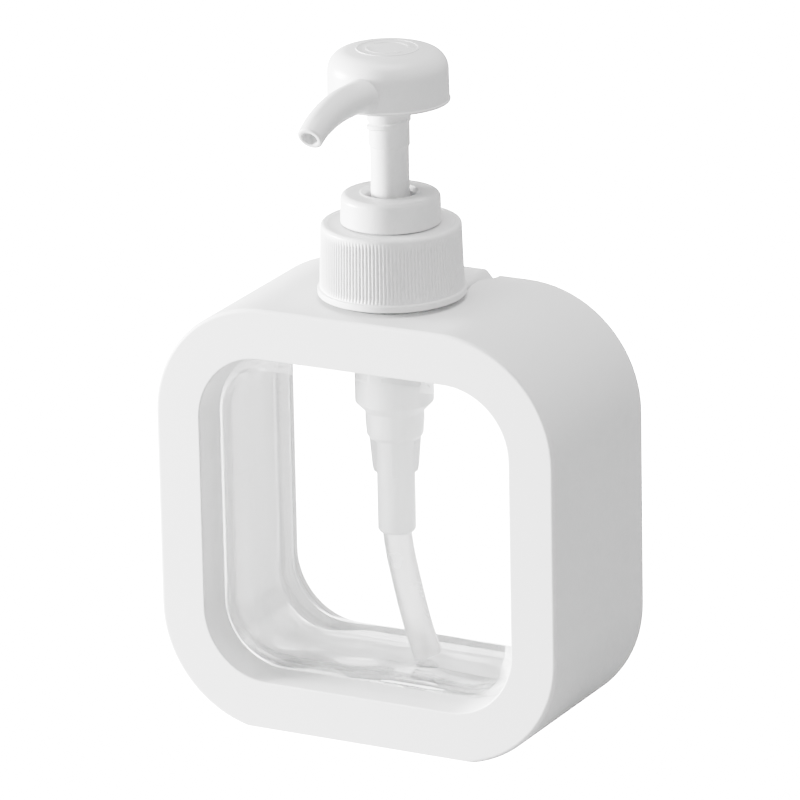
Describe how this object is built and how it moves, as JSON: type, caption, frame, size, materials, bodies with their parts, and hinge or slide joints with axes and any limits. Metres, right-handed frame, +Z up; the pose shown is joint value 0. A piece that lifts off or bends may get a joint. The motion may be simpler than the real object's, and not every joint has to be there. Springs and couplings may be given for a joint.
{
  "type": "soap pump dispenser",
  "caption": "Clear rounded-square bottle in a white frame casing with an open window, topped by a screw-down lotion pump with a round head and a curved spout.",
  "frame": {"origin": "centre of the casing's flat base, on the surface it stands on", "axes": "+X to the right seen from the front, -Y to the front where the spout points, +Z up"},
  "size_m": [0.1004, 0.0633, 0.1574],
  "materials": {
    "casing_white": "satin moulded ABS",
    "pump_white": "smooth moulded polypropylene",
    "clear_pet": "clear, polished",
    "natural_pp": "milky, translucent",
    "natural_pe": "milky, translucent",
    "seal_foam": "fine closed-cell foam",
    "spring_steel": "drawn stainless wire",
    "ball_steel": "polished"
  },
  "bodies": {
    "casing": {"front_shell": "casing_white"},
    "bottle_body": {"bottle": "clear_pet"},
    "cover": {"rear_cover": "casing_white"},
    "pump_body": {"housing": "natural_pp", "gasket": "seal_foam", "lock_ring": "pump_white", "dip_tube": "natural_pe", "spring": "spring_steel"},
    "closure_body": {"closure": "pump_white"},
    "valve": {"valve_core": "pump_white"},
    "plunger": {"stem": "pump_white", "head": "pump_white"},
    "piston_body": {"piston": "natural_pe"},
    "ball": {"inlet_ball": "ball_steel"}
  },
  "joints": [
    {"name": "bottle_slide", "type": "slide", "parent": "casing", "child": "bottle_body", "axis": [0, 1, 0], "range_m": [0, 0.048]},
    {"name": "cover_pull", "type": "slide", "parent": "bottle_body", "child": "cover", "axis": [0, 1, 0], "range_m": [0, 0.03]},
    {"name": "pump_lift", "type": "slide", "parent": "bottle_body", "child": "pump_body", "axis": [0, 0, 1], "range_m": [0, 0.0064]},
    {"name": "closure_turn", "type": "hinge", "parent": "pump_body", "child": "closure_body", "pos_m": [0, -0.00185, 0.10095], "axis": [0, 0, 1], "range_deg": [0, 540]},
    {"name": "pump_stroke", "type": "slide", "parent": "pump_body", "child": "valve", "axis": [0, 0, -1], "range_m": [0, 0.018], "stiffness_N_per_m": 350, "springref_m": -0.02, "deforming": ["spring"]},
    {"name": "head_turn", "type": "hinge", "parent": "valve", "child": "plunger", "pos_m": [0, -0.00185, 0.1241], "axis": [0, 0, 1], "continuous": true},
    {"name": "piston_slip", "type": "slide", "parent": "valve", "child": "piston_body", "axis": [0, 0, 1], "range_m": [0, 0.001]},
    {"name": "ball_lift", "type": "slide", "parent": "pump_body", "child": "ball", "axis": [0, 0, 1], "range_m": [0, 0.002]}
  ],
  "couplings": [
    {"joint": "pump_lift", "follows": "closure_turn", "m_per_rad": 0.0006737}
  ]
}
